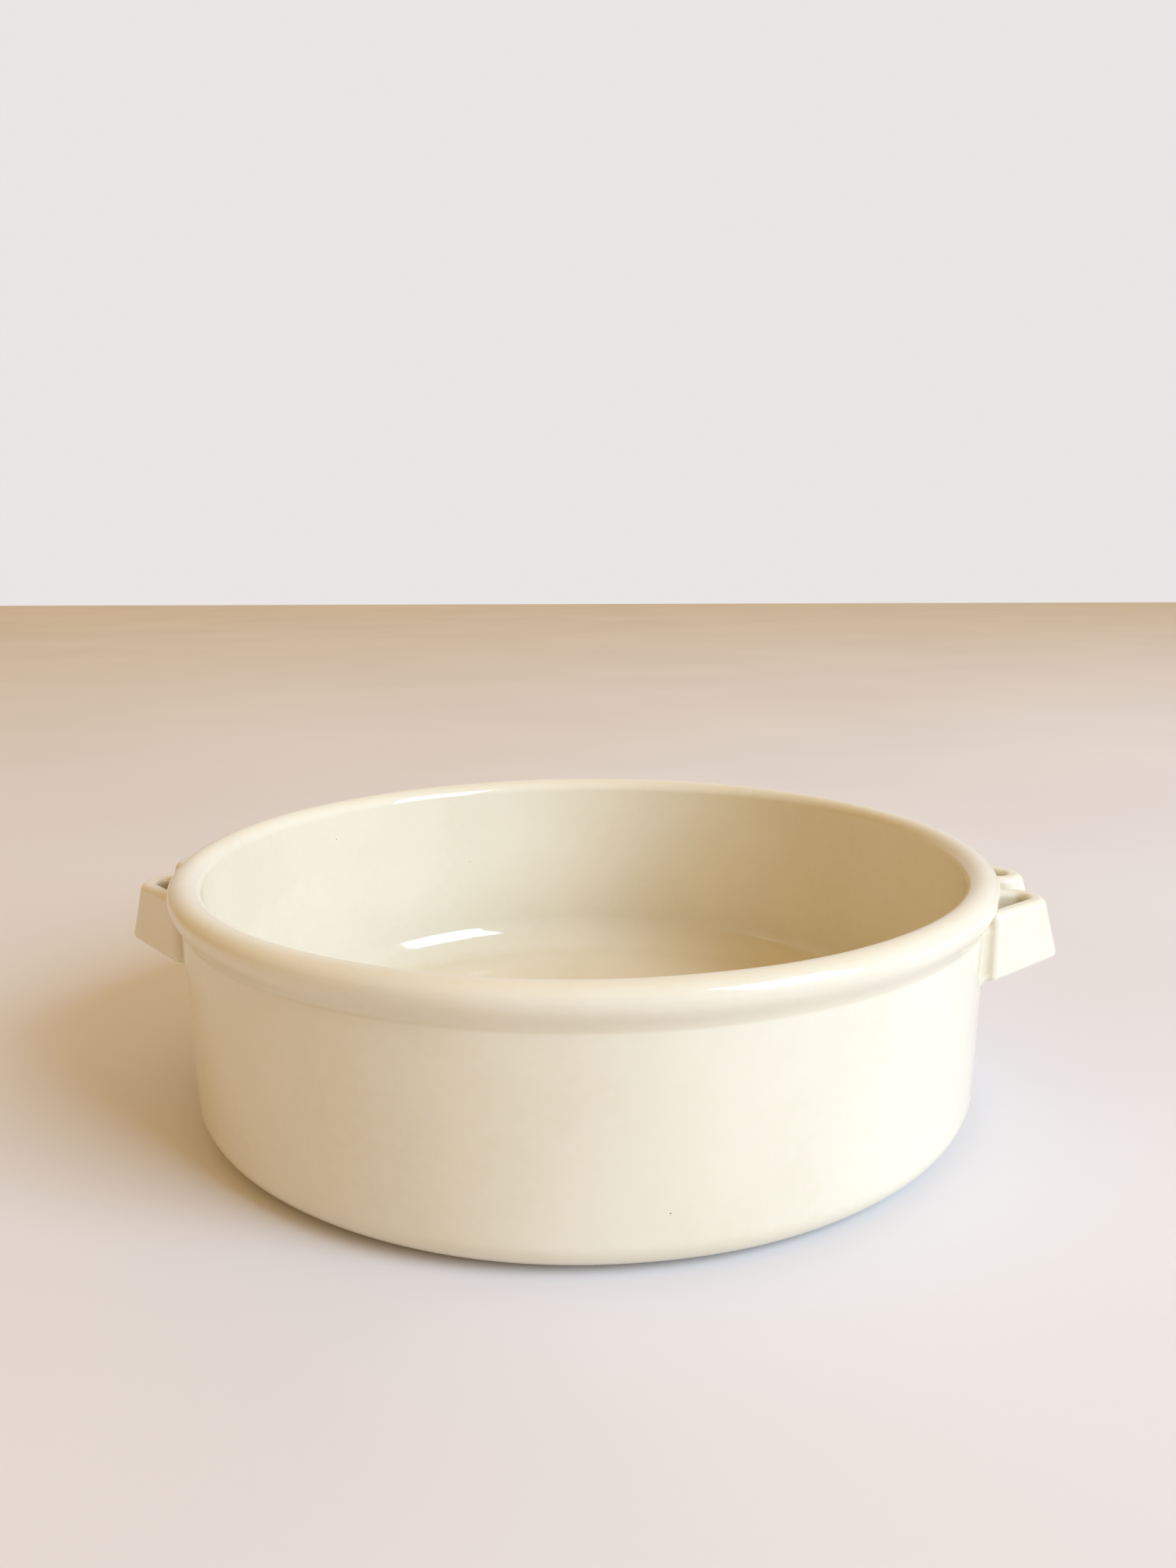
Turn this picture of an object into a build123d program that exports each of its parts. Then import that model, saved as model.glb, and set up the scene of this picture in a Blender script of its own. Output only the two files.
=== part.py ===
from build123d import *
from math import acos, cos, degrees, radians, sin, tan
import os

# Straight-sided porcelain serving bowl with a rolled rim and two finger loops on each side.
# Millimetres, +Z up. The origin is on the table, on the bowl's axis. The loops are on +X and -X.

# ---- driving dimensions: bowl -----------------------------------------------------------------
rim_radius = 150.0             # outside of the rolled rim
bowl_height = 89.0             # table to the crown of the rim
bead_width = 11.6              # radial thickness of the rolled rim
bead_crown = 5.0               # rim above its widest level
bead_belly = 7.0               # rim below its widest level
groove_radius = 3.0            # soft groove where the rim meets the wall
wall_top_radius = 146.1        # outside of the wall, under the rim
wall_base_radius = 144.0       # outside of the wall, where the base corner starts
wall_thickness = 6.9           # at the foot of the wall
corner_width = 12.5            # base corner, a quarter of an ellipse
corner_height = 11.0
cove_radius = 15.0             # inside, between floor and wall
floor_level = 8.0              # inside floor above the table
recess_depth = 2.4             # underside of the floor above the table
foot_outer_radius = 130.0      # bearing ring
foot_width = 11.0
foot_reveal = 0.7              # the glazed corner stays this far off the table
foot_edge = 0.6                # soft lower edges of the bearing ring

# ---- driving dimensions: finger loops, two on each side ----------------------------------------
loop_top = 78.3                # flat top of the loops
loop_gap = 12.8                # between the two loops of a side
loop_reach = 165.4             # bowl axis to the loop's end, at the top
loop_flare = 15.4              # degrees that the loop's end leans out, going down
neck_radius = 150.0            # a loop's outer flank bends here, on to a short radial neck
neck_azimuth = 15.8            # degrees from the middle of the side to that neck
top_turn = 44.0                # degrees that the outer flank turns inwards, at the top
low_turn = 40.0                # the same, at the underside
top_corner = 9.5               # plan corners of a loop, at the top
low_corner = 7.4               # the same, at the underside
neck_corner = 2.5              # rounding of that bend
strap_thickness = 5.8
strap_edge = 2.0               # rounding along the strap's edges
underside_level = 53.0         # underside of the loop at the wall
underside_rise = 0.09          # slope of the underside, going out
slip_thickness = 0.6           # joining slip between wall and loop
slip_spread = 2.0              # how far the slip squeezes out past the strap

# ---- derived places ---------------------------------------------------------------------------
bead_half = bead_width / 2
bead_radius = rim_radius - bead_half
bead_level = bowl_height - bead_crown
corner_radius = wall_base_radius - corner_width
corner_level = foot_reveal + corner_height
inner_top_radius = rim_radius - bead_width
inner_base_radius = wall_base_radius - wall_thickness
cove_centre = inner_base_radius - cove_radius
cove_level = floor_level + cove_radius
foot_inner_radius = foot_outer_radius - foot_width
undercut = degrees(acos((wall_top_radius - bead_radius) / bead_half))
wall_top_level = bead_level - bead_belly * sin(radians(undercut))
loop_start = inner_base_radius  # loops are drawn from inside the wall, then cut back to it
bend_x = neck_radius * cos(radians(neck_azimuth))
bend_y = -neck_radius * sin(radians(neck_azimuth))
overshoot = 4.0                 # how far a cutting tool runs past what it cuts
tolerance = 0.05                # for picking edges by their size
margin = 1.0                    # for picking edges by the band that they lie in
low_band = 4.0                  # height that the lower edges rise through


def wall_radius_at(level):
    """Outside radius of the wall at a height."""
    rise = (level - corner_level) / (wall_top_level - corner_level)
    return wall_base_radius + rise * (wall_top_radius - wall_base_radius)


def blend_at(level, top_value, low_value):
    """A loop's dimension at a height, between its values at the top and at the underside."""
    drop = (loop_top - level) / (loop_top - underside_level)
    return top_value + drop * (low_value - top_value)


def loop_plan(level, inset):
    """Plan of the right front loop at a height, pulled in by the inset."""
    turn = radians(blend_at(level, top_turn, low_turn))
    end = loop_reach + (loop_top - level) * tan(radians(loop_flare)) - inset
    flank_x = bend_x - inset * sin(turn)
    flank_y = bend_y + inset * cos(turn)
    inner = -loop_gap / 2 - inset
    with BuildSketch(Plane.XY.offset(level)) as plan:
        with BuildLine():
            Polyline((loop_start, flank_y + (loop_start - flank_x) * tan(turn)),
                     (end, flank_y + (end - flank_x) * tan(turn)),
                     (end, inner), (loop_start, inner), close=True)
        make_face()
        fillet(plan.vertices().group_by(Axis.X)[-1], blend_at(level, top_corner, low_corner) - inset)
    return plan.sketch


def build_loop(growth):
    """The right front loop in the part being built, with its outside grown by an amount."""
    top = loop_top + growth
    low = underside_level - growth
    base = low - overshoot
    add(loop_plan(base, -growth))
    add(loop_plan(top, -growth))
    loft()
    neck = neck_azimuth + degrees(growth / neck_radius)
    with BuildSketch(Plane.XZ.rotated((0, 0, -neck))) as sector:
        Rectangle(2 * loop_reach, 2 * loop_top, align=(Align.MIN, Align.MIN))
    revolve(sector.sketch, axis=Axis.Z, revolution_arc=neck, mode=Mode.INTERSECT)
    add(loop_plan(base - overshoot, strap_thickness))
    add(loop_plan(top + overshoot, strap_thickness))
    loft(mode=Mode.SUBTRACT)
    # The underside rises slightly, going out.
    with BuildSketch(Plane.XZ) as below:
        with BuildLine():
            past_end = 2 * loop_reach - loop_start
            Polyline((loop_start, low), (past_end, low + (past_end - loop_start) * underside_rise),
                     (past_end, base - overshoot), (loop_start, base - overshoot), close=True)
        make_face()
    revolve(below.sketch, axis=Axis.Z, mode=Mode.SUBTRACT)


def wall_cone(growth, mode):
    """The wall as a plain solid cone, grown outwards by an amount, in the part being built."""
    with Locations((0, 0, corner_level)):
        Cone(wall_base_radius + growth, wall_radius_at(bowl_height) + growth,
             bowl_height - corner_level, rotation=(0, 0, 90),
             align=(Align.CENTER, Align.CENTER, Align.MIN), mode=mode)


def is_outside_wall(edge):
    """True for an edge that lies clear of the wall's inside, where the loop is cut away."""
    return (edge @ 0.5).X > loop_start + margin


# ---- bowl: floor, cove, wall and rolled rim, turned about the axis ------------------------------
with BuildPart() as bowl_body:
    with BuildSketch(Plane.XZ):
        with BuildLine():
            Polyline((0, recess_depth), (foot_outer_radius, recess_depth),
                     (foot_outer_radius, foot_reveal), (corner_radius, foot_reveal))
            EllipticalCenterArc((corner_radius, corner_level), corner_width, corner_height,
                                start_angle=270, arc_size=90)
            Line((wall_base_radius, corner_level), (wall_top_radius, wall_top_level))
            EllipticalCenterArc((bead_radius, bead_level), bead_half, bead_belly,
                                start_angle=-undercut, arc_size=undercut)
            EllipticalCenterArc((bead_radius, bead_level), bead_half, bead_crown,
                                start_angle=0, arc_size=180)
            Line((inner_top_radius, bead_level), (inner_base_radius, cove_level))
            CenterArc((cove_centre, cove_level), cove_radius, 0, -90)
            Polyline((cove_centre, floor_level), (0, floor_level), (0, recess_depth))
        make_face()
    revolve(axis=Axis.Z)
    circles = bowl_body.edges().filter_by(GeomType.CIRCLE)
    fillet(circles.filter_by(lambda edge: abs(edge.radius - wall_top_radius) < tolerance),
           groove_radius)
bowl_body.part.label = "bowl_body"

# ---- bearing ring under the floor, left bare of glaze -------------------------------------------
with BuildPart() as foot_ring:
    with BuildSketch(Plane.XZ):
        with BuildLine():
            Polyline((foot_inner_radius, 0), (foot_outer_radius, 0),
                     (foot_outer_radius, recess_depth), (foot_inner_radius, recess_depth),
                     close=True)
        make_face()
    revolve(axis=Axis.Z)
    fillet(foot_ring.edges().group_by(Axis.Z)[0], foot_edge)
foot_ring.part.label = "foot_ring"

# ---- the right front loop: a strap bent round for one finger, its ends on the wall -----------------
with BuildPart() as loop_right_front:
    build_loop(0)
    bend = (bend_x, bend_y, (loop_top + underside_level) / 2)
    fillet(loop_right_front.edges().sort_by_distance(bend)[0], neck_corner)
    top_edges = loop_right_front.edges().filter_by_position(Axis.Z, loop_top - tolerance,
                                                            loop_top + tolerance)
    fillet(top_edges.filter_by(is_outside_wall), strap_edge)
    low_edges = loop_right_front.edges().filter_by_position(Axis.Z, underside_level - margin,
                                                            underside_level + low_band)
    fillet(low_edges.filter_by(is_outside_wall), strap_edge)
    wall_cone(slip_thickness, Mode.SUBTRACT)
    add(bowl_body.part, mode=Mode.SUBTRACT)

# ---- its joining slip: a thin coat between wall and loop, squeezed out a little round the outside -----
with BuildPart() as slip_right_front:
    build_loop(slip_spread)
    wall_cone(slip_thickness, Mode.INTERSECT)
    wall_cone(0, Mode.SUBTRACT)
    add(bowl_body.part, mode=Mode.SUBTRACT)

# ---- the other three loops and their slip are mirror images -----------------------------------------
with BuildPart() as loop_right_back:
    mirror(loop_right_front.part, about=Plane.XZ)
with BuildPart() as slip_right_back:
    mirror(slip_right_front.part, about=Plane.XZ)
with BuildPart() as loop_left_front:
    mirror(loop_right_front.part, about=Plane.YZ)
with BuildPart() as slip_left_front:
    mirror(slip_right_front.part, about=Plane.YZ)
with BuildPart() as loop_left_back:
    mirror(loop_right_back.part, about=Plane.YZ)
with BuildPart() as slip_left_back:
    mirror(slip_right_back.part, about=Plane.YZ)

loop_right_front.part.label = "loop_right_front"
loop_right_back.part.label = "loop_right_back"
loop_left_front.part.label = "loop_left_front"
loop_left_back.part.label = "loop_left_back"
slip_right_front.part.label = "slip_right_front"
slip_right_back.part.label = "slip_right_back"
slip_left_front.part.label = "slip_left_front"
slip_left_back.part.label = "slip_left_back"

# ---- one STEP file per piece ----------------------------------------------------------------------
os.makedirs("parts", exist_ok=True)
for piece in (bowl_body, foot_ring,
              loop_right_front, loop_right_back, loop_left_front, loop_left_back,
              slip_right_front, slip_right_back, slip_left_front, slip_left_back):
    export_step(piece.part, f"parts/{piece.part.label}.step")
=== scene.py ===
from math import cos, pi, radians, sin, tan

import bpy
import numpy as np
from mathutils import Matrix, Vector


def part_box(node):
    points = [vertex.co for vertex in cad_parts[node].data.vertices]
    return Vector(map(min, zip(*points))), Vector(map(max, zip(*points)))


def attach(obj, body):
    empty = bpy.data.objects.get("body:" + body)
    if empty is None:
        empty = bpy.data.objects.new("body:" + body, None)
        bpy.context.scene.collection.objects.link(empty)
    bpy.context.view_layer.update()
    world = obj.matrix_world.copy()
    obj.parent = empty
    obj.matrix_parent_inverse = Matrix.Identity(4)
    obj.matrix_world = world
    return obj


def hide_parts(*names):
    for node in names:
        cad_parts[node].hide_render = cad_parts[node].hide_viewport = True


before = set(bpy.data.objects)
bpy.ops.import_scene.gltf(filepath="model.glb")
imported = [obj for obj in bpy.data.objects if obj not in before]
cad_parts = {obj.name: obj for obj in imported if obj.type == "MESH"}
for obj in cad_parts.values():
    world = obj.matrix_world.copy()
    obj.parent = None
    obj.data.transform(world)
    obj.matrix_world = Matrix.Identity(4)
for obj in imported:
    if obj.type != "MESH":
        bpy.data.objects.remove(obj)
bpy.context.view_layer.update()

# A cream-glazed porcelain serving bowl with a rolled rim and two finger loops on each side.
# Everything is in metres, in the frame's own axes: +Z up, loops on +X and -X.

mm = 0.001

# ---- sizes of the bowl -------------------------------------------------------------------------
body_low, body_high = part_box("bowl_body")
foot_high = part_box("foot_ring")[1]
loop_low, loop_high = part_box("loop_right_back")

glaze_play = 0.25 * mm                  # the hand-finished surface wanders inwards by up to this
rim_radius = body_high[1]
bowl_height = body_high[2]
bead_half = 5.8 * mm                    # rolled rim: half its radial thickness
bead_crown = 5.0 * mm                   # above its widest level
bead_belly = 7.0 * mm                   # below its widest level
bead_radius = rim_radius - bead_half
bead_level = bowl_height - bead_crown
groove_radius = 3.0 * mm                # soft groove under the rim

wall_top_inset = 3.9 * mm               # the wall's outside, inwards from the rim's
wall_base_inset = 6.0 * mm
wall_thickness = 6.9 * mm               # at the base
wall_top_radius = rim_radius - wall_top_inset
wall_base_radius = rim_radius - wall_base_inset
corner_width = 12.5 * mm                # base corner, a quarter of an ellipse
corner_height = 11.0 * mm
foot_reveal = body_low[2]
corner_level = foot_reveal + corner_height
wall_meets_bead = 0.945                 # share of the belly's depth where the wall runs into it
wall_top_level = bead_level - bead_belly * wall_meets_bead
inner_top_radius = rim_radius - 2 * bead_half
inner_base_radius = wall_base_radius - wall_thickness
cove_radius = 15.0 * mm
floor_level = 8.0 * mm
cove_level = floor_level + cove_radius
recess_level = foot_high[2]
foot_width = 11.0 * mm
foot_edge = 0.6 * mm
foot_outer = foot_high[0]
foot_inner = foot_outer - foot_width

# ---- sizes of the finger loops -------------------------------------------------------------------
loop_top = loop_high[2]
half_gap = loop_low[1]                  # from the middle of a side to a loop's inner flank
loop_reach = 165.35 * mm                # bowl's axis to the loop's end, at the top
loop_flare = radians(15.4)              # the end leans out, going down
neck_radius = 150.0 * mm                # the outer flank bends here, on to a short radial neck
neck_azimuth = radians(15.8)
top_turn = radians(44.0)                # how far the outer flank turns inwards, at the top
low_turn = radians(40.0)                # the same, at the underside
top_corner = 9.5 * mm                   # plan corners, at the top
low_corner = 7.4 * mm                   # the same, at the underside
strap_thickness = 5.8 * mm
strap_edge = 2.3 * mm
neck_corner = 1.2 * mm
underside_level = 53.0 * mm             # at the wall
underside_rise = 0.09                   # slope of the underside, going out
root_radius = 3.0 * mm                  # where the strap flows into the wall
root_radius_top = 1.2 * mm              # the same, tucked under the rim
root_embed = 1.0 * mm                   # how deep a loop's root reaches into the wall
root_trim = 0.15 * mm                   # where the root's thin lip ends
tuck_depth = 7.0 * mm                   # the root fillet starts to tighten this far below the top
tuck_length = 6.5 * mm                  # and has done so over this height
strap_start = inner_base_radius - 20 * mm          # a strap's flanks run back to here, inside the wall

# Box that the back right loop is meshed in, and the grid's step.
net_step = 0.5 * mm
net_low = (inner_base_radius - 10 * mm, half_gap - 6 * mm, underside_level - 6 * mm)
net_high = (loop_high[0] + mm, 48 * mm, loop_top + 4 * mm)

# ---- sizes of the stage ----------------------------------------------------------------------------
floor_half = 4.0
window_place = (2.45, -1.35, 1.50)
window_size = (1.7, 2.2)
window_power = 142                      # W
camera_distance = 455.4 * mm            # from the bowl's axis, along the floor
camera_height = 201.0 * mm
camera_azimuth = radians(5.3)           # 0 stands square on, looking along +Y
camera_heading = camera_azimuth - radians(0.23)
camera_pitch = radians(10.83)           # below level
camera_roll = radians(-0.40)
camera_lens = 28.481                    # mm, on a sensor 36 mm wide


# ---- shape functions ---------------------------------------------------------------------------
def ripple(points):
    """Slow, shallow unevenness of the hand-finished surface, from -glaze_play to 0."""
    waves = (((61, 23, 17), 0.3), ((-37, 52, 41), 1.9), ((19, -71, 29), 4.1), ((83, 47, -53), 2.6))
    total = sum(np.sin(points @ np.array(wave) + phase) for wave, phase in waves)
    return (total / len(waves) - 1) * glaze_play / 2


def round_union(a, b, radius):
    """Union of two distance fields with a circular fillet between them."""
    u = np.maximum(radius - a, 0)
    v = np.maximum(radius - b, 0)
    return np.maximum(radius, np.minimum(a, b)) - np.hypot(u, v)


def rounded_corner(a, b, radius):
    """Intersection of two distance fields with a circular corner between them."""
    u = a + radius
    v = b + radius
    return np.hypot(np.maximum(u, 0), np.maximum(v, 0)) + np.minimum(np.maximum(u, v), 0) - radius


def wall_radius(z):
    """Radius of the wall's outside at a height."""
    rise = (z - corner_level) / (wall_top_level - corner_level)
    return wall_base_radius + rise * (wall_top_radius - wall_base_radius)


def outside_distance(radius, z):
    """Distance from the bowl's outside, wall and rolled rim, before its unevenness."""
    wall = radius - wall_radius(z)
    across = radius - bead_radius
    up = z - bead_level
    half_height = np.where(up > 0, bead_crown, bead_belly)
    k0 = np.hypot(across / bead_half, up / half_height)
    k1 = np.hypot(across / bead_half ** 2, up / half_height ** 2)
    bead = k0 * (k0 - 1) / np.maximum(k1, 1e-9)
    return round_union(wall, bead, groove_radius)


def bowl_distance(points):
    """Distance from the bowl's outside with its unevenness."""
    radius = np.hypot(points[..., 0], points[..., 1])
    return outside_distance(radius, points[..., 2]) - ripple(points)


def polygon_distance(x, y, corners):
    """Signed distance from a convex outline, whose corners go round anticlockwise."""
    nearest = np.full(x.shape, np.inf)
    inside = np.ones(x.shape, bool)
    for i in range(len(corners)):
        ax, ay = corners[i]
        bx, by = corners[(i + 1) % len(corners)]
        ex, ey = bx - ax, by - ay
        along = np.clip(((x - ax) * ex + (y - ay) * ey) / (ex ** 2 + ey ** 2), 0, 1)
        nearest = np.minimum(nearest, np.hypot(x - ax - along * ex, y - ay - along * ey))
        inside &= ex * (y - ay) - ey * (x - ax) >= 0
    return np.where(inside, -nearest, nearest)


def loop_distance(points):
    """Distance from the loop at the back of the +X side."""
    x, y, z = points[..., 0], points[..., 1], points[..., 2]
    drop = np.clip((loop_top - z) / (loop_top - underside_level), -0.2, 1.2)   # 0 top, 1 underside
    corner = top_corner + drop * (low_corner - top_corner)
    turn = top_turn + drop * (low_turn - top_turn)
    end = loop_reach + (loop_top - z) * tan(loop_flare) - corner
    inner = half_gap + corner
    flank_x = neck_radius * cos(neck_azimuth) - corner * np.sin(turn)
    flank_y = neck_radius * sin(neck_azimuth) - corner * np.cos(turn)
    start = strap_start + 0 * z
    corners = [(start, inner), (end, inner), (end, flank_y - (end - flank_x) * np.tan(turn)),
               (start, flank_y - (start - flank_x) * np.tan(turn))]
    outline = polygon_distance(x, y, corners) - corner
    strap = np.abs(outline + strap_thickness / 2) - strap_thickness / 2
    neck = y * cos(neck_azimuth) - x * sin(neck_azimuth)
    strap = rounded_corner(strap, neck, neck_corner)
    under = underside_level + (np.hypot(x, y) - inner_base_radius) * underside_rise - z
    return rounded_corner(strap, np.maximum(z - loop_top, under), strap_edge)


def loop_skin(points, flip):
    """A loop flowing into the bowl: what shows. The flip has the loop's signs in x, y and z."""
    z = points[..., 2]
    near_top = np.clip((z - loop_top + tuck_depth) / tuck_length, 0, 1)
    near_top = near_top * near_top * (3 - 2 * near_top)
    radius = root_radius + (root_radius_top - root_radius) * near_top
    return round_union(bowl_distance(points), loop_distance(points * flip), radius)


def loop_solid(points, flip):
    """A loop as a solid of its own: its root stops just inside the wall."""
    trim = loop_distance(points * flip) - root_radius + root_trim
    depth = -bowl_distance(points) - root_embed
    return np.maximum(loop_skin(points, flip), np.maximum(trim, depth))


def gradient(field, points, step=0.02 * mm):
    """Slope of a distance field at points."""
    slopes = []
    for axis in range(3):
        offset = np.zeros(3)
        offset[axis] = step
        slopes.append((field(points + offset) - field(points - offset)) / (2 * step))
    return np.stack(slopes, axis=-1)


# ---- mesh helpers --------------------------------------------------------------------------------
def surface_net(field, low, high, step):
    """Closed quad mesh of a field's zero level: one vertex in each grid cell that it crosses."""
    counts = [int(np.ceil((high[i] - low[i]) / step)) + 1 for i in range(3)]
    axes = [low[i] + step * np.arange(counts[i]) for i in range(3)]
    grid = np.stack(np.meshgrid(*axes, indexing="ij"), axis=-1)
    values = field(grid)
    cells = tuple(n - 1 for n in counts)

    def corner(offset):
        return tuple(slice(offset[i], offset[i] + cells[i]) for i in range(3))

    total = np.zeros(cells + (3,))
    crossings = np.zeros(cells)
    for axis in range(3):
        for first in (0, 1):
            for second in (0, 1):
                start = [0, 0, 0]
                start[(axis + 1) % 3] = first
                start[(axis + 2) % 3] = second
                end = list(start)
                end[axis] = 1
                a = values[corner(start)]
                b = values[corner(end)]
                crossed = (a < 0) != (b < 0)
                along = np.where(crossed, a / np.where(crossed, a - b, 1), 0)
                place = np.broadcast_to(np.array(start, float), cells + (3,)).copy()
                place[..., axis] += along
                total += place * crossed[..., None]
                crossings += crossed
    active = crossings > 0
    index = np.full(cells, -1)
    index[active] = np.arange(active.sum())
    local = total[active] / crossings[active][:, None]
    vertices = np.array(low) + step * (np.argwhere(active) + local)

    faces = []
    for axis in range(3):
        one, two = (axis + 1) % 3, (axis + 2) % 3
        span = [slice(1, -1)] * 3
        span[axis] = slice(0, -1)
        ahead = list(span)
        ahead[axis] = slice(1, None)
        here = values[tuple(span)] < 0
        there = values[tuple(ahead)] < 0
        for inside_first in (True, False):
            edges = np.argwhere((here != there) & (here == inside_first))
            edges[:, one] += 1
            edges[:, two] += 1
            ring = []
            for step_one, step_two in ((1, 1), (0, 1), (0, 0), (1, 0)):
                cell = edges.copy()
                cell[:, one] -= step_one
                cell[:, two] -= step_two
                ring.append(index[cell[:, 0], cell[:, 1], cell[:, 2]])
            quad = np.stack(ring, axis=-1)
            faces.append(quad if inside_first else quad[:, ::-1])
    return vertices, np.concatenate(faces)


def face_edges(faces):
    """Each edge of a face list, both ways round."""
    edges = np.concatenate([np.stack([faces[:, i], faces[:, (i + 1) % faces.shape[1]]], axis=1)
                            for i in range(faces.shape[1])])
    return np.concatenate([edges, edges[:, ::-1]])


def neighbour_mean(values, edges):
    """Mean of each vertex's neighbours."""
    total = np.zeros_like(values)
    np.add.at(total, edges[:, 0], values[edges[:, 1]])
    count = np.bincount(edges[:, 0], minlength=len(values)).reshape((-1,) + (1,) * (values.ndim - 1))
    return total / np.maximum(count, 1)


def settle(vertices, field, rounds=3):
    """Moves vertices on to a field's zero level."""
    for _ in range(rounds):
        slope = gradient(field, vertices)
        size = np.maximum((slope ** 2).sum(axis=-1), 0.1)     # keeps steps short on a flat field
        vertices = vertices - slope * (field(vertices) / size)[:, None]
    return vertices


def add_piece(name, vertices, faces, normals=None):
    """A smooth mesh object from arrays."""
    mesh = bpy.data.meshes.new(name)
    mesh.from_pydata(vertices.tolist(), [], [tuple(f) for f in faces])
    mesh.update()
    mesh.shade_smooth()
    if normals is not None:
        mesh.normals_split_custom_set_from_vertices(normals.tolist())
    piece = bpy.data.objects.new(name, mesh)
    bpy.context.scene.collection.objects.link(piece)
    return piece


def store_bend(piece, edge_list, reach):
    """Keeps how convex (+) or hollow (-) the surface is, in 1/m, as the attribute 'bend'."""
    mesh = piece.data
    count = len(mesh.vertices)
    places = np.zeros(count * 3, np.float32)
    mesh.vertices.foreach_get("co", places)
    places = places.reshape(-1, 3).astype(float)
    normals = np.zeros(count * 3, np.float32)
    mesh.vertices.foreach_get("normal", normals)
    normals = normals.reshape(-1, 3).astype(float)
    a, b = edge_list[:, 0], edge_list[:, 1]
    span = places[b] - places[a]
    length = np.maximum((span ** 2).sum(axis=1), 1e-12)
    turn = ((normals[b] - normals[a]) * span).sum(axis=1) / length
    bend = np.zeros(count)
    np.add.at(bend, a, turn)
    bend /= np.maximum(np.bincount(a, minlength=count), 1)
    for _ in range(reach):
        bend = 0.5 * bend + 0.5 * neighbour_mean(bend, edge_list)
    attribute = mesh.attributes.new("bend", "FLOAT", "POINT")
    attribute.data.foreach_set("value", bend.astype(np.float32))


def arc(centre, width, height, start, end, count):
    """Points along an elliptical arc in the profile plane, angles in degrees."""
    angles = np.radians(np.linspace(start, end, count))
    return np.stack([centre[0] + width * np.cos(angles), centre[1] + height * np.sin(angles)], axis=1)


def straight(start, end, count):
    return np.linspace(start, end, count)


def lathe(name, profile, segments, uneven=True):
    """A solid turned about Z from a closed profile of (radius, height) that starts and ends on it."""
    keep = np.r_[True, np.hypot(*np.diff(profile, axis=0).T) > 1e-6]
    profile = profile[keep]
    ring = profile[1:-1]
    turns = np.linspace(0, 2 * pi, segments, endpoint=False)
    rings = np.stack([np.outer(ring[:, 0], np.cos(turns)), np.outer(ring[:, 0], np.sin(turns)),
                      np.repeat(ring[:, 1:], segments, axis=1)], axis=-1).reshape(-1, 3)
    poles = np.array([[0, 0, profile[0, 1]], [0, 0, profile[-1, 1]]])
    vertices = np.concatenate([rings, poles])
    step = np.arange(segments)
    ahead = (step + 1) % segments
    quads = []
    for i in range(len(ring) - 1):
        low, high = i * segments, (i + 1) * segments
        quads.append(np.stack([low + step, low + ahead, high + ahead, high + step], axis=1))
    quads = np.concatenate(quads)
    first, last = len(rings), len(rings) + 1
    top = (len(ring) - 1) * segments
    caps = [(first, int(b), int(a)) for a, b in zip(step, ahead)]
    caps += [(last, int(top + a), int(top + b)) for a, b in zip(step, ahead)]
    if uneven:
        tangent = np.gradient(ring, axis=0)
        outward = np.stack([tangent[:, 1], -tangent[:, 0]], axis=1)
        outward /= np.hypot(*outward.T)[:, None]
        shift = ripple(rings).reshape(len(ring), segments, 1)
        flat = np.stack([np.outer(outward[:, 0], np.cos(turns)),
                         np.outer(outward[:, 0], np.sin(turns)),
                         np.repeat(outward[:, 1:], segments, axis=1)], axis=-1)
        vertices[:len(rings)] += (flat * shift).reshape(-1, 3)
    piece = add_piece(name, vertices, [tuple(q) for q in quads.tolist()] + caps)
    return piece, face_edges(quads)


def turned_ring(name, profile, segments):
    """A solid ring turned about Z from a closed outline of (radius, height)."""
    turns = np.linspace(0, 2 * pi, segments, endpoint=False)
    vertices = np.stack([np.outer(profile[:, 0], np.cos(turns)), np.outer(profile[:, 0], np.sin(turns)),
                         np.repeat(profile[:, 1:], segments, axis=1)], axis=-1).reshape(-1, 3)
    step = np.arange(segments)
    ahead = (step + 1) % segments
    quads = []
    for i in range(len(profile)):
        low, high = i * segments, (i + 1) % len(profile) * segments
        quads.append(np.stack([low + step, low + ahead, high + ahead, high + step], axis=1))
    return add_piece(name, vertices, np.concatenate(quads).tolist())


# ---- bowl ----------------------------------------------------------------------------------------
def outside_radius(level):
    """Outermost radius of wall and rim at a height, found by halving."""
    low, high = wall_base_radius - 5 * mm, rim_radius + mm
    for _ in range(40):
        middle = (low + high) / 2
        if outside_distance(np.array(middle), np.array(level)) > 0:
            high = middle
        else:
            low = middle
    return (low + high) / 2


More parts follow.
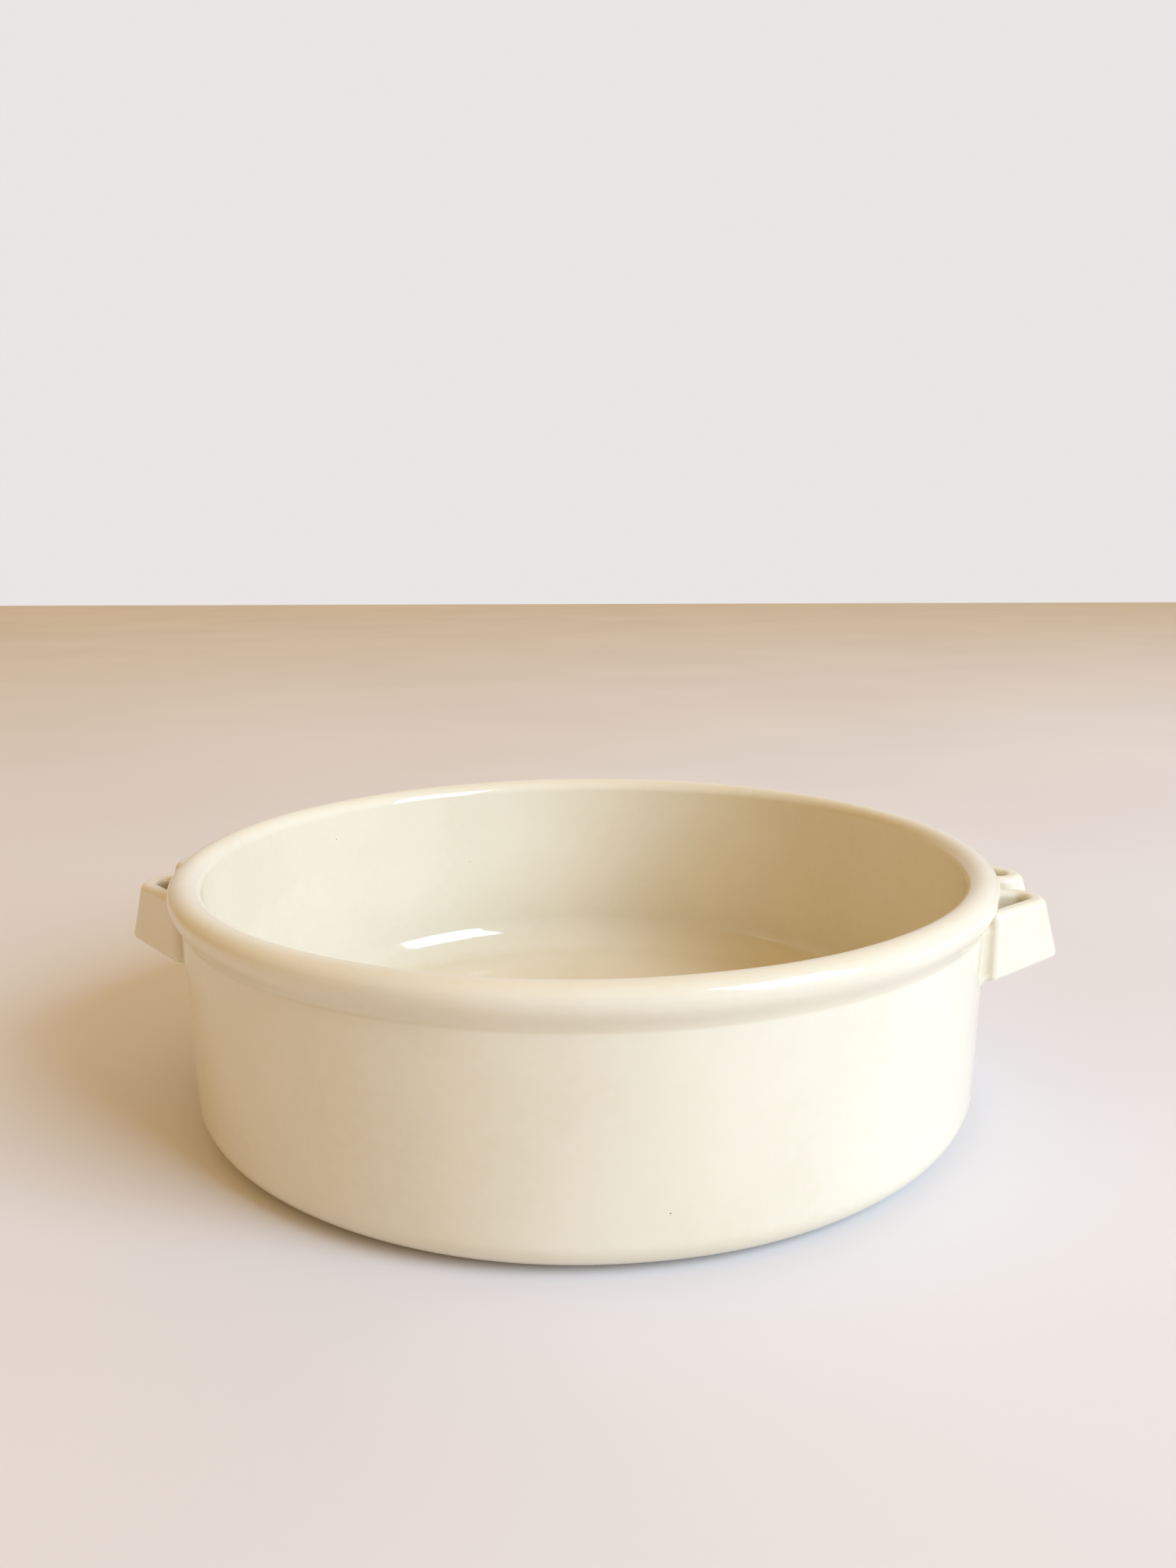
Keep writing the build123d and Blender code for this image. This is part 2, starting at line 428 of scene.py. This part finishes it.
def make_bowl():
    """Body of the bowl, turned from one outline: underside, wall, rim, inside wall, cove and floor."""
    start_corner = wall_base_radius - corner_width
    bend_level = wall_top_level - 6 * mm             # where the groove starts and points crowd closer
    wall_levels = np.concatenate([
        np.linspace(corner_level, bend_level, 34)[1:],
        np.linspace(bend_level, bead_level - mm, 44)[1:],
        np.linspace(bead_level - mm, bead_level, 5)[1:]])
    wall = np.array([(outside_radius(level), level) for level in wall_levels])
    parts = [
        straight((0, recess_level), (foot_outer, recess_level), 40),
        straight((foot_outer, foot_reveal), (start_corner, foot_reveal), 3),
        arc((start_corner, corner_level), corner_width, corner_height, 270, 360, 26),
        wall,
        arc((bead_radius, bead_level), bead_half, bead_crown, 2, 180, 44),
        straight((inner_top_radius, bead_level), (inner_base_radius, cove_level), 34)[1:],
        arc((inner_base_radius - cove_radius, cove_level), cove_radius, cove_radius, 0, -90, 30)[1:],
        straight((inner_base_radius - cove_radius, floor_level), (0, floor_level), 44)[1:]]
    piece, edges = lathe("bowl_shell", np.concatenate(parts), 480)
    store_bend(piece, edges, 3)
    return piece


def make_foot():
    top = recess_level + glaze_play      # a little way into the uneven floor above it
    profile = np.concatenate([
        straight((foot_outer, top), (foot_outer, foot_edge), 4),
        arc((foot_outer - foot_edge, foot_edge), foot_edge, foot_edge, 0, -90, 6)[1:],
        arc((foot_inner + foot_edge, foot_edge), foot_edge, foot_edge, -90, -180, 6),
        straight((foot_inner, foot_edge), (foot_inner, top), 4)[1:]])
    return turned_ring("foot_bearing_ring", profile[::-1], 360)


# ---- finger loops ------------------------------------------------------------------------------------
def make_loop(name, side, row):
    """One finger loop; side is +1 on +X and -1 on -X, row is +1 at the back and -1 at the front."""
    flip = np.array([side, row, 1])
    near = np.array(net_low) * flip
    far = np.array(net_high) * flip

    def solid(points):
        return loop_solid(points, flip)

    vertices, faces = surface_net(solid, np.minimum(near, far), np.maximum(near, far), net_step)
    edges = face_edges(faces)
    for _ in range(2):
        vertices = settle(vertices + 0.5 * (neighbour_mean(vertices, edges) - vertices), solid)
    normals = gradient(lambda points: loop_skin(points, flip), vertices)
    normals /= np.linalg.norm(normals, axis=1)[:, None]
    piece = add_piece(name, vertices, faces.tolist(), normals)
    store_bend(piece, edges, 2)
    return piece


# ---- materials -------------------------------------------------------------------------------------
class Shader:
    """A node material being built, with short calls for the nodes used here."""

    def __init__(self, name):
        self.material = bpy.data.materials.new(name)
        self.material.use_nodes = True
        self.tree = self.material.node_tree
        self.surface = self.tree.nodes["Principled BSDF"]
        self.place = self.node("ShaderNodeTexCoord").outputs["Object"]

    def node(self, kind, **settings):
        node = self.tree.nodes.new(kind)
        for key, value in settings.items():
            setattr(node, key, value)
        return node

    def link(self, source, socket):
        if isinstance(source, (int, float, tuple)):
            socket.default_value = source
        else:
            self.tree.links.new(source, socket)

    def noise(self, scale, detail=2.0, roughness=0.5):
        node = self.node("ShaderNodeTexNoise")
        self.link(self.place, node.inputs["Vector"])
        node.inputs["Scale"].default_value = scale
        node.inputs["Detail"].default_value = detail
        node.inputs["Roughness"].default_value = roughness
        return node.outputs["Fac"]

    def spread(self, value, low, high, to_low=0.0, to_high=1.0):
        node = self.node("ShaderNodeMapRange", interpolation_type="SMOOTHSTEP")
        self.link(value, node.inputs["Value"])
        for name, number in (("From Min", low), ("From Max", high),
                             ("To Min", to_low), ("To Max", to_high)):
            node.inputs[name].default_value = number
        return node.outputs["Result"]

    def maths(self, operation, a, b=0.0):
        node = self.node("ShaderNodeMath", operation=operation)
        self.link(a, node.inputs[0])
        self.link(b, node.inputs[1])
        return node.outputs["Value"]

    def mix(self, factor, a, b):
        node = self.node("ShaderNodeMix", data_type="RGBA")
        self.link(factor, node.inputs["Factor"])
        self.link(a, node.inputs["A"])
        self.link(b, node.inputs["B"])
        return node.outputs["Result"]

    def bump(self, height, depth, below=None):
        """Relief of a height map, with its full depth in metres."""
        node = self.node("ShaderNodeBump")
        node.inputs["Strength"].default_value = 1.0
        node.inputs["Distance"].default_value = depth
        self.link(height, node.inputs["Height"])
        if below is not None:
            self.link(below, node.inputs["Normal"])
        return node.outputs["Normal"]

    def attribute(self, name):
        return self.node("ShaderNodeAttribute", attribute_name=name).outputs["Fac"]

    def pits(self, spacing, size, share):
        """Scattered round pits: 1 inside a pit, 0 outside. Only a share of the cells has one."""
        node = self.node("ShaderNodeTexVoronoi")
        self.link(self.place, node.inputs["Vector"])
        node.inputs["Scale"].default_value = 1 / spacing
        disc = self.spread(node.outputs["Distance"], size / spacing, 0.5 * size / spacing)
        colour = self.node("ShaderNodeSeparateColor")
        self.link(node.outputs["Color"], colour.inputs["Color"])
        return self.maths("MULTIPLY", disc, self.maths("LESS_THAN", colour.outputs["Red"], share))

def make_glaze():
    """Glossy ivory glaze: pools warm in hollows, thins to paler on edges, with a few dark pinholes."""
    thick_coat = (0.765, 0.690, 0.515, 1)
    thin_coat = (0.800, 0.730, 0.560, 1)
    fleck = (0.805, 0.750, 0.610, 1)
    pooled = (0.640, 0.530, 0.330, 1)
    edge_thin = (0.860, 0.820, 0.710, 1)
    pinhole = (0.330, 0.230, 0.120, 1)

    shader = Shader("ivory_glaze")
    cream = shader.mix(shader.spread(shader.noise(14, 3), 0.35, 0.65), thick_coat, thin_coat)
    cream = shader.mix(shader.spread(shader.noise(260, 2), 0.3, 0.7, 0.0, 0.25), cream, fleck)
    bend = shader.attribute("bend")
    cream = shader.mix(shader.spread(bend, -20, -260, 0.0, 0.75), cream, pooled)
    cream = shader.mix(shader.spread(bend, 60, 330, 0.0, 0.55), cream, edge_thin)
    pits = shader.pits(17 * mm, 0.32 * mm, 0.16)
    cream = shader.mix(pits, cream, pinhole)
    shader.link(cream, shader.surface.inputs["Base Color"])
    shader.link(shader.spread(shader.noise(90, 3), 0.3, 0.7, 0.055, 0.105),
                shader.surface.inputs["Roughness"])
    shader.surface.inputs["IOR"].default_value = 1.52
    shader.surface.inputs["Subsurface Weight"].default_value = 0.06
    shader.surface.inputs["Subsurface Radius"].default_value = (0.004, 0.0025, 0.0012)
    shader.surface.inputs["Subsurface Scale"].default_value = 1.0
    relief = shader.bump(shader.noise(110, 2), 0.06 * mm)
    relief = shader.bump(shader.noise(420, 3), 0.008 * mm, relief)
    relief = shader.bump(shader.maths("SUBTRACT", 1.0, pits), 0.10 * mm, relief)
    shader.link(relief, shader.surface.inputs["Normal"])
    return shader.material


def make_bare_porcelain():
    """Unglazed fired clay: matte, faintly warm, with fine grain and grey rub marks."""
    dark_clay = (0.640, 0.560, 0.440, 1)
    pale_clay = (0.740, 0.680, 0.570, 1)
    grain = (0.430, 0.350, 0.250, 1)
    rub_mark = (0.360, 0.340, 0.310, 1)

    shader = Shader("bare_porcelain")
    clay = shader.mix(shader.spread(shader.noise(60, 4), 0.35, 0.65), dark_clay, pale_clay)
    clay = shader.mix(shader.spread(shader.noise(1500, 2), 0.56, 0.70, 0.0, 0.5), clay, grain)
    clay = shader.mix(shader.spread(shader.noise(24, 5, 0.7), 0.58, 0.72, 0.0, 0.55), clay, rub_mark)
    shader.link(clay, shader.surface.inputs["Base Color"])
    shader.link(shader.spread(shader.noise(300, 3), 0.3, 0.7, 0.62, 0.85),
                shader.surface.inputs["Roughness"])
    relief = shader.bump(shader.noise(900, 4, 0.6), 0.10 * mm)
    shader.link(relief, shader.surface.inputs["Normal"])
    return shader.material


def make_floor_finish():
    """Plain pale floor, a very little uneven in tone."""
    shader = Shader("pale_floor")
    tone = shader.mix(shader.spread(shader.noise(3, 2), 0.3, 0.7),
                      (0.76, 0.73, 0.72, 1), (0.79, 0.765, 0.755, 1))
    shader.link(tone, shader.surface.inputs["Base Color"])
    shader.surface.inputs["Roughness"].default_value = 0.8
    shader.surface.inputs["Specular IOR Level"].default_value = 0.2
    return shader.material


# ---- stage: floor, light, camera -------------------------------------------------------------------
def make_floor(finish):
    """A square floor under the bowl, on the frame's z = 0."""
    corners = [(x * floor_half, y * floor_half, 0) for x, y in ((-1, -1), (1, -1), (1, 1), (-1, 1))]
    mesh = bpy.data.meshes.new("floor")
    mesh.from_pydata(corners, [], [(0, 1, 2, 3)])
    floor = bpy.data.objects.new("floor", mesh)
    bpy.context.scene.collection.objects.link(floor)
    floor.data.materials.append(finish)


def add_light(name, place, target, size, power, colour):
    """A soft rectangular light that faces a target."""
    lamp = bpy.data.lights.new(name, "AREA")
    lamp.shape = "RECTANGLE"
    lamp.size, lamp.size_y = size
    lamp.energy = power
    lamp.color = colour
    light = bpy.data.objects.new(name, lamp)
    light.location = place
    light.rotation_euler = (Vector(target) - Vector(place)).to_track_quat("-Z", "Y").to_euler()
    bpy.context.scene.collection.objects.link(light)


def make_light():
    """A large cool window light from the front right, a warm fill all round and a pale backdrop."""
    lamplit_room = (0.60, 0.410, 0.190, 1)   # in front and at the sides
    daylit_wall = (0.95, 0.93, 0.95, 1)      # behind the bowl, on +Y
    backdrop_colour = (0.82, 0.79, 0.79, 1)  # what the camera sees
    window_colour = (0.52, 0.715, 1.0)

    world = bpy.data.worlds.new("studio")
    world.use_nodes = True
    tree = world.node_tree
    join = tree.links.new
    direction = tree.nodes.new("ShaderNodeTexCoord")
    parts = tree.nodes.new("ShaderNodeSeparateXYZ")
    join(direction.outputs["Generated"], parts.inputs["Vector"])

    behind = tree.nodes.new("ShaderNodeMapRange")
    behind.inputs["From Min"].default_value = 0.45     # the wall's soft edge, as a share of +Y
    behind.inputs["From Max"].default_value = 0.95
    join(parts.outputs["Y"], behind.inputs["Value"])
    room = tree.nodes.new("ShaderNodeMix")
    room.data_type = "RGBA"
    room.inputs["A"].default_value = lamplit_room
    room.inputs["B"].default_value = daylit_wall
    join(behind.outputs["Result"], room.inputs["Factor"])

    strength = tree.nodes.new("ShaderNodeMapRange")
    strength.inputs["To Min"].default_value = 0.72     # at the horizon
    strength.inputs["To Max"].default_value = 1.32     # overhead
    join(parts.outputs["Z"], strength.inputs["Value"])
    fill = tree.nodes["Background"]
    join(room.outputs["Result"], fill.inputs["Color"])
    join(strength.outputs["Result"], fill.inputs["Strength"])

    backdrop = tree.nodes.new("ShaderNodeBackground")
    backdrop.inputs["Color"].default_value = backdrop_colour
    seen = tree.nodes.new("ShaderNodeLightPath")
    choice = tree.nodes.new("ShaderNodeMixShader")
    join(seen.outputs["Is Camera Ray"], choice.inputs["Fac"])
    join(fill.outputs["Background"], choice.inputs[1])
    join(backdrop.outputs["Background"], choice.inputs[2])
    join(choice.outputs["Shader"], tree.nodes["World Output"].inputs["Surface"])
    bpy.context.scene.world = world

    centre = (0, 0, bowl_height / 2)
    add_light("window", window_place, centre, window_size, window_power, window_colour)
    bpy.context.scene.view_settings.view_transform = "Standard"


def make_camera():
    """Stands in front of the bowl, a little to the right of square on, looking down on the rim."""
    camera = bpy.data.objects.new("camera", bpy.data.cameras.new("camera"))
    camera.data.sensor_width = 36.0
    camera.data.lens = camera_lens
    camera.data.clip_start = 0.01
    turn = (Matrix.Rotation(camera_heading, 4, "Z") @ Matrix.Rotation(pi / 2 - camera_pitch, 4, "X")
            @ Matrix.Rotation(camera_roll, 4, "Z"))
    place = Vector((camera_distance * sin(camera_azimuth), -camera_distance * cos(camera_azimuth),
                    camera_height))
    camera.matrix_world = Matrix.Translation(place) @ turn
    bpy.context.scene.collection.objects.link(camera)
    bpy.context.scene.camera = camera


# ---- assembly ----------------------------------------------------------------------------------------
def place_piece(piece, finish, slot, *nodes):
    """Gives a piece its material, attaches it to the root body and hides the CAD nodes it stands for."""
    piece.data.materials.clear()
    piece.data.materials.append(finish)
    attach(piece, "root")
    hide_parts(*nodes)


glaze = make_glaze()
bare = make_bare_porcelain()

place_piece(make_bowl(), glaze, "glaze", "bowl_body")
place_piece(make_foot(), bare, "bare_porcelain", "foot_ring")
for side_name, side in (("right", 1), ("left", -1)):
    for row_name, row in (("front", -1), ("back", 1)):
        loop = make_loop(f"finger_loop_{side_name}_{row_name}", side, row)
        place_piece(loop, glaze, "glaze", f"loop_{side_name}_{row_name}", f"slip_{side_name}_{row_name}")

make_floor(make_floor_finish())
make_light()
make_camera()
